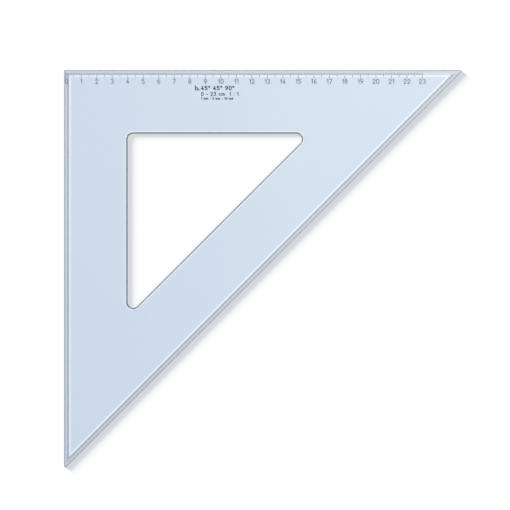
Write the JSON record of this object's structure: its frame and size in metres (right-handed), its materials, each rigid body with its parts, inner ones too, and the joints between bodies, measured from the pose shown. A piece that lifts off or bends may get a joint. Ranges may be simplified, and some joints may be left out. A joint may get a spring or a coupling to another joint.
{
  "type": "set square",
  "caption": "Flat transparent 45-degree drafting triangle with stepped guide edges, a triangular window and a printed centimetre scale along one leg.",
  "frame": {"origin": "right-angle corner of the guide edges, in the plane of the underside", "axes": "+X along the graduated leg, -Y along the plain leg, +Z out of the upper face, from which the scale is read"},
  "size_m": [0.2562, 0.2562, 0.0022],
  "materials": {
    "plate": "clear light-blue, polished",
    "print": "matte stamped ink"
  },
  "bodies": {
    "root": {"plate": "plate", "millimetre_ticks": "print", "half_centimetre_ticks": "print", "centimetre_ticks": "print", "scale_numerals": "print", "angle_mark": "print", "unit_mark": "print"}
  },
  "joints": []
}
